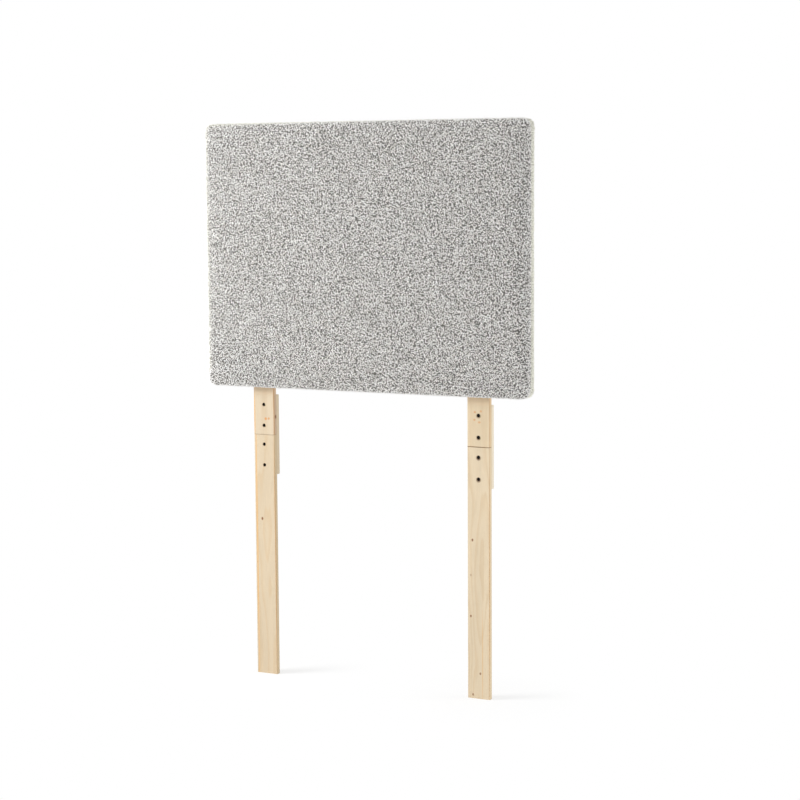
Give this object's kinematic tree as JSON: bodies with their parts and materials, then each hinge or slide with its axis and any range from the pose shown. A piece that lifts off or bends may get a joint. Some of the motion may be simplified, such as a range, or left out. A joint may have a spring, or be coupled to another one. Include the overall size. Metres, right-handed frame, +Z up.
{
  "type": "headboard",
  "caption": "Upholstered rectangular headboard on timber strut legs with bolted splice plates, for standing behind a single bed.",
  "frame": {"origin": "on the floor, in the middle of the bounding box in X and Y", "axes": "+Z up; +X to the right as seen from the padded front; the padded front faces -Y and the wall side faces +Y"},
  "size_m": [0.9, 0.0658, 1.4494],
  "materials": {
    "cover_fabric": "looped yarn, light warm grey",
    "wadding": "white polyester fibre",
    "foam": "pale cream foam",
    "hardboard": "brown pressed fibre",
    "frame_pine": "sawn pine",
    "strut_pine": "planed pine, untreated",
    "black_steel": "black zinc",
    "lining": "black non-woven cloth",
    "staple_wire": "galvanised wire"
  },
  "bodies": {
    "root": {"back_lining": "lining", "board_staples": "staple_wire", "bottom_rail_left": "frame_pine", "bottom_rail_middle": "frame_pine", "bottom_rail_right": "frame_pine", "cover_staples": "staple_wire", "end_stile_left": "frame_pine", "end_stile_right": "frame_pine", "fabric_cover": "cover_fabric", "foam_pad": "foam", "frame_fasteners": "staple_wire", "front_board": "hardboard", "lining_staples": "staple_wire", "lower_leg_left": "strut_pine", "lower_leg_right": "strut_pine", "middle_rail": "frame_pine", "splice_bolts": "black_steel", "splice_plate_left": "strut_pine", "splice_plate_right": "strut_pine", "splice_washers": "black_steel", "threaded_inserts": "black_steel", "top_rail": "frame_pine", "upright_left": "strut_pine", "upright_right": "strut_pine", "wadding": "wadding"}
  },
  "joints": []
}
